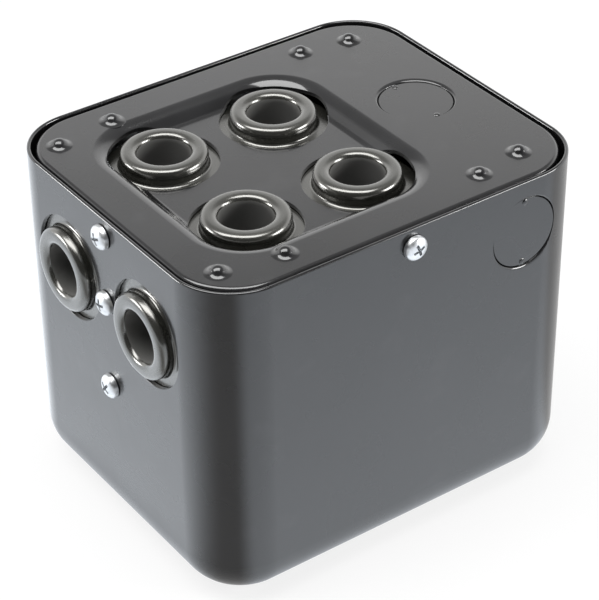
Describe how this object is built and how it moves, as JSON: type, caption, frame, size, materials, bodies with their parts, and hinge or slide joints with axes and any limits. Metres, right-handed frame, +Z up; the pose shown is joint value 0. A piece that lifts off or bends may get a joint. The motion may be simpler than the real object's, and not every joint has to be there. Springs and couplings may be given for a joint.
{
  "type": "surge protector",
  "caption": "Drawn black steel case with a drop-in lid, round wire bushings in the lid and one wall, knockouts, and a surge circuit inside.",
  "frame": {"origin": "centre of the flat bottom face", "axes": "+Z up out of the lid, -Y out of the front wall, -X out of the wall with two bushings"},
  "size_m": [0.137, 0.1144, 0.111],
  "materials": {
    "black_paint": "satin black paint",
    "black_moulding": "glossy black moulding",
    "zinc": "bright zinc plate",
    "plain_steel": "plain steel",
    "fibre_sheet": "matt fibre",
    "board_green": "satin green laminate",
    "varistor_blue": "blue dipped coating",
    "fuse_brown": "pale ceramic",
    "capacitor_yellow": "yellow moulded case",
    "terminal_black": "matt black moulding"
  },
  "bodies": {
    "case": {"case_can": "black_paint", "side_bushing_front": "black_moulding", "side_bushing_rear": "black_moulding", "board_standoff_1": "zinc", "board_standoff_2": "zinc", "board_standoff_3": "zinc", "board_standoff_4": "zinc", "board_screw_1": "zinc", "board_screw_2": "zinc", "board_screw_3": "zinc", "board_screw_4": "zinc", "ground_post": "zinc", "side_retainer": "plain_steel", "lid_clip_front": "plain_steel", "lid_clip_right": "plain_steel", "lid_clip_rear": "plain_steel", "lid_clip_left": "plain_steel", "module_base": "plain_steel", "insulating_sheet": "fibre_sheet", "circuit_board": "board_green", "varistor_1": "varistor_blue", "varistor_2": "varistor_blue", "varistor_3": "varistor_blue", "varistor_4": "varistor_blue", "varistor_5": "varistor_blue", "varistor_6": "varistor_blue", "thermal_fuse_1": "fuse_brown", "thermal_fuse_2": "fuse_brown", "thermal_fuse_3": "fuse_brown", "film_capacitor": "capacitor_yellow", "terminal_block": "terminal_black"},
    "lid": {"lid_cover": "black_paint", "lid_retainer": "plain_steel", "lid_bushing_front_left": "black_moulding", "lid_bushing_front_right": "black_moulding", "lid_bushing_rear_left": "black_moulding", "lid_bushing_rear_right": "black_moulding"},
    "lid_screw_front_body": {"lid_screw_front": "zinc"},
    "lid_screw_right_body": {"lid_screw_right": "zinc"},
    "lid_screw_rear_body": {"lid_screw_rear": "zinc"},
    "lid_screw_left_body": {"lid_screw_left": "zinc"},
    "side_screw_upper_body": {"side_screw_upper": "zinc"},
    "side_screw_lower_body": {"side_screw_lower": "zinc"},
    "terminal_screw_1_body": {"terminal_screw_1": "zinc"},
    "terminal_screw_2_body": {"terminal_screw_2": "zinc"},
    "terminal_screw_3_body": {"terminal_screw_3": "zinc"},
    "terminal_screw_4_body": {"terminal_screw_4": "zinc"},
    "ground_screw_body": {"ground_screw": "zinc"},
    "lid_knockout_body": {"lid_knockout": "black_paint"},
    "front_knockout_body": {"front_knockout": "black_paint"}
  },
  "joints": [
    {"name": "lid_lift", "type": "slide", "parent": "case", "child": "lid", "axis": [0, 0, 1], "range_m": [0, 0.06]},
    {"name": "lid_screw_front_out", "type": "slide", "parent": "case", "child": "lid_screw_front_body", "axis": [0, -1, 0], "range_m": [0, 0.01]},
    {"name": "lid_screw_right_out", "type": "slide", "parent": "case", "child": "lid_screw_right_body", "axis": [1, 0, 0], "range_m": [0, 0.01]},
    {"name": "lid_screw_rear_out", "type": "slide", "parent": "case", "child": "lid_screw_rear_body", "axis": [0, 1, 0], "range_m": [0, 0.01]},
    {"name": "lid_screw_left_out", "type": "slide", "parent": "case", "child": "lid_screw_left_body", "axis": [-1, 0, 0], "range_m": [0, 0.01]},
    {"name": "side_screw_upper_out", "type": "slide", "parent": "case", "child": "side_screw_upper_body", "axis": [-1, 0, 0], "range_m": [0, 0.01]},
    {"name": "side_screw_lower_out", "type": "slide", "parent": "case", "child": "side_screw_lower_body", "axis": [-1, 0, 0], "range_m": [0, 0.01]},
    {"name": "terminal_screw_1_up", "type": "slide", "parent": "case", "child": "terminal_screw_1_body", "axis": [0, 0, 1], "range_m": [0, 0.004]},
    {"name": "terminal_screw_2_up", "type": "slide", "parent": "case", "child": "terminal_screw_2_body", "axis": [0, 0, 1], "range_m": [0, 0.004]},
    {"name": "terminal_screw_3_up", "type": "slide", "parent": "case", "child": "terminal_screw_3_body", "axis": [0, 0, 1], "range_m": [0, 0.004]},
    {"name": "terminal_screw_4_up", "type": "slide", "parent": "case", "child": "terminal_screw_4_body", "axis": [0, 0, 1], "range_m": [0, 0.004]},
    {"name": "ground_screw_up", "type": "slide", "parent": "case", "child": "ground_screw_body", "axis": [0, 0, 1], "range_m": [0, 0.004]},
    {"name": "lid_knockout_bend", "type": "hinge", "parent": "lid", "child": "lid_knockout_body", "pos_m": [0.0432, -0.0111, 0.1083], "axis": [1, 0, 0], "range_deg": [0, 75]},
    {"name": "front_knockout_bend", "type": "hinge", "parent": "case", "child": "front_knockout_body", "pos_m": [0.04, -0.05405, 0.0809], "axis": [1, 0, 0], "range_deg": [0, 75]}
  ]
}
